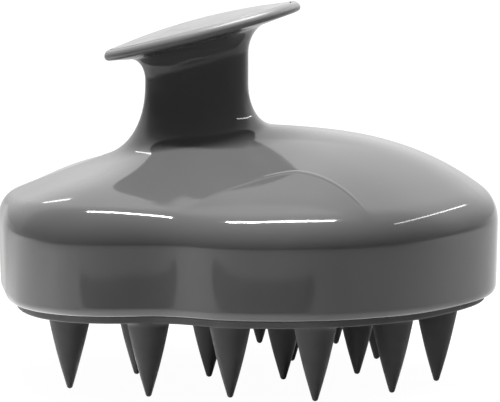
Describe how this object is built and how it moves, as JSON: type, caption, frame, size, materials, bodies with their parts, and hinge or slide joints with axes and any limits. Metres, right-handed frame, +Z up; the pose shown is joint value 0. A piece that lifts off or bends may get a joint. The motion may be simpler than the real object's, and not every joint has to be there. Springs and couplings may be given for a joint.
{
  "type": "scalp massager brush",
  "caption": "Hand-held scalp massager: hollow gloss shell with a tilted finger paddle on a neck, and soft conical bristles on a silicone pad.",
  "frame": {"origin": "centre of the footprint at the level of the bristle tips, where the brush stands", "axes": "+Z up from the bristle tips to the handle, +X along the long axis away from the neck, +Y across"},
  "size_m": [0.0893, 0.0702, 0.0661],
  "materials": {
    "shell_plastic": "gloss",
    "cap_plastic": "gloss",
    "inner_plastic": "matte",
    "silicone": "satin",
    "screw_steel": "satin"
  },
  "bodies": {
    "brush_head": {"upper_shell": "shell_plastic", "handle_cap": "cap_plastic", "carrier_plate": "inner_plastic", "bristle_pad": "silicone", "carrier_screw_1": "screw_steel", "carrier_screw_2": "screw_steel", "carrier_screw_3": "screw_steel", "carrier_screw_4": "screw_steel"},
    "bristle_01_body": {"bristle_01": "silicone"},
    "bristle_02_body": {"bristle_02": "silicone"},
    "bristle_03_body": {"bristle_03": "silicone"},
    "bristle_04_body": {"bristle_04": "silicone"},
    "bristle_05_body": {"bristle_05": "silicone"},
    "bristle_06_body": {"bristle_06": "silicone"},
    "bristle_07_body": {"bristle_07": "silicone"},
    "bristle_08_body": {"bristle_08": "silicone"},
    "bristle_09_body": {"bristle_09": "silicone"},
    "bristle_10_body": {"bristle_10": "silicone"},
    "bristle_11_body": {"bristle_11": "silicone"},
    "bristle_12_body": {"bristle_12": "silicone"},
    "bristle_13_body": {"bristle_13": "silicone"},
    "bristle_14_body": {"bristle_14": "silicone"},
    "bristle_15_body": {"bristle_15": "silicone"},
    "bristle_16_body": {"bristle_16": "silicone"},
    "bristle_17_body": {"bristle_17": "silicone"},
    "bristle_18_body": {"bristle_18": "silicone"},
    "bristle_19_body": {"bristle_19": "silicone"},
    "bristle_20_body": {"bristle_20": "silicone"},
    "bristle_21_body": {"bristle_21": "silicone"},
    "bristle_22_body": {"bristle_22": "silicone"}
  },
  "joints": [
    {"name": "bristle_01_bend", "type": "hinge", "parent": "brush_head", "child": "bristle_01_body", "pos_m": [-0.0289, -0.02, 0.0131], "axis": [0, 1, 0], "range_deg": [-18, 18], "stiffness_Nm_per_rad": 0.0135},
    {"name": "bristle_02_bend", "type": "hinge", "parent": "brush_head", "child": "bristle_02_body", "pos_m": [-0.0143, -0.0255, 0.0131], "axis": [0, 1, 0], "range_deg": [-18, 18], "stiffness_Nm_per_rad": 0.0135},
    {"name": "bristle_03_bend", "type": "hinge", "parent": "brush_head", "child": "bristle_03_body", "pos_m": [-0.0003, -0.0248, 0.0131], "axis": [0, 1, 0], "range_deg": [-18, 18], "stiffness_Nm_per_rad": 0.0135},
    {"name": "bristle_04_bend", "type": "hinge", "parent": "brush_head", "child": "bristle_04_body", "pos_m": [0.0144, -0.0262, 0.0131], "axis": [0, 1, 0], "range_deg": [-18, 18], "stiffness_Nm_per_rad": 0.0135},
    {"name": "bristle_05_bend", "type": "hinge", "parent": "brush_head", "child": "bristle_05_body", "pos_m": [0.027, -0.0178, 0.0131], "axis": [0, 1, 0], "range_deg": [-18, 18], "stiffness_Nm_per_rad": 0.0135},
    {"name": "bristle_06_bend", "type": "hinge", "parent": "brush_head", "child": "bristle_06_body", "pos_m": [-0.0304, -0.0065, 0.0131], "axis": [0, 1, 0], "range_deg": [-18, 18], "stiffness_Nm_per_rad": 0.0135},
    {"name": "bristle_07_bend", "type": "hinge", "parent": "brush_head", "child": "bristle_07_body", "pos_m": [-0.0191, -0.0065, 0.0131], "axis": [0, 1, 0], "range_deg": [-18, 18], "stiffness_Nm_per_rad": 0.0135},
    {"name": "bristle_08_bend", "type": "hinge", "parent": "brush_head", "child": "bristle_08_body", "pos_m": [-0.006, -0.0075, 0.0131], "axis": [0, 1, 0], "range_deg": [-18, 18], "stiffness_Nm_per_rad": 0.0135},
    {"name": "bristle_09_bend", "type": "hinge", "parent": "brush_head", "child": "bristle_09_body", "pos_m": [0.0073, -0.0085, 0.0131], "axis": [0, 1, 0], "range_deg": [-18, 18], "stiffness_Nm_per_rad": 0.0135},
    {"name": "bristle_10_bend", "type": "hinge", "parent": "brush_head", "child": "bristle_10_body", "pos_m": [0.0199, -0.0023, 0.0131], "axis": [0, 1, 0], "range_deg": [-18, 18], "stiffness_Nm_per_rad": 0.0135},
    {"name": "bristle_11_bend", "type": "hinge", "parent": "brush_head", "child": "bristle_11_body", "pos_m": [0.0342, -0.007, 0.0131], "axis": [0, 1, 0], "range_deg": [-18, 18], "stiffness_Nm_per_rad": 0.0135},
    {"name": "bristle_12_bend", "type": "hinge", "parent": "brush_head", "child": "bristle_12_body", "pos_m": [-0.0324, 0.005, 0.0131], "axis": [0, 1, 0], "range_deg": [-18, 18], "stiffness_Nm_per_rad": 0.0135},
    {"name": "bristle_13_bend", "type": "hinge", "parent": "brush_head", "child": "bristle_13_body", "pos_m": [-0.0191, 0.0065, 0.0131], "axis": [0, 1, 0], "range_deg": [-18, 18], "stiffness_Nm_per_rad": 0.0135},
    {"name": "bristle_14_bend", "type": "hinge", "parent": "brush_head", "child": "bristle_14_body", "pos_m": [-0.006, 0.0075, 0.0131], "axis": [0, 1, 0], "range_deg": [-18, 18], "stiffness_Nm_per_rad": 0.0135},
    {"name": "bristle_15_bend", "type": "hinge", "parent": "brush_head", "child": "bristle_15_body", "pos_m": [0.0073, 0.0085, 0.0131], "axis": [0, 1, 0], "range_deg": [-18, 18], "stiffness_Nm_per_rad": 0.0135},
    {"name": "bristle_16_bend", "type": "hinge", "parent": "brush_head", "child": "bristle_16_body", "pos_m": [0.0225, 0.0118, 0.0131], "axis": [0, 1, 0], "range_deg": [-18, 18], "stiffness_Nm_per_rad": 0.0135},
    {"name": "bristle_17_bend", "type": "hinge", "parent": "brush_head", "child": "bristle_17_body", "pos_m": [0.0342, 0.007, 0.0131], "axis": [0, 1, 0], "range_deg": [-18, 18], "stiffness_Nm_per_rad": 0.0135},
    {"name": "bristle_18_bend", "type": "hinge", "parent": "brush_head", "child": "bristle_18_body", "pos_m": [-0.0348, 0.015, 0.0131], "axis": [0, 1, 0], "range_deg": [-18, 18], "stiffness_Nm_per_rad": 0.0135},
    {"name": "bristle_19_bend", "type": "hinge", "parent": "brush_head", "child": "bristle_19_body", "pos_m": [-0.0195, 0.0255, 0.0131], "axis": [0, 1, 0], "range_deg": [-18, 18], "stiffness_Nm_per_rad": 0.0135},
    {"name": "bristle_20_bend", "type": "hinge", "parent": "brush_head", "child": "bristle_20_body", "pos_m": [-0.0003, 0.0248, 0.0131], "axis": [0, 1, 0], "range_deg": [-18, 18], "stiffness_Nm_per_rad": 0.0135},
    {"name": "bristle_21_bend", "type": "hinge", "parent": "brush_head", "child": "bristle_21_body", "pos_m": [0.014, 0.0256, 0.0131], "axis": [0, 1, 0], "range_deg": [-18, 18], "stiffness_Nm_per_rad": 0.0135},
    {"name": "bristle_22_bend", "type": "hinge", "parent": "brush_head", "child": "bristle_22_body", "pos_m": [0.0252, 0.0208, 0.0131], "axis": [0, 1, 0], "range_deg": [-18, 18], "stiffness_Nm_per_rad": 0.0135}
  ]
}
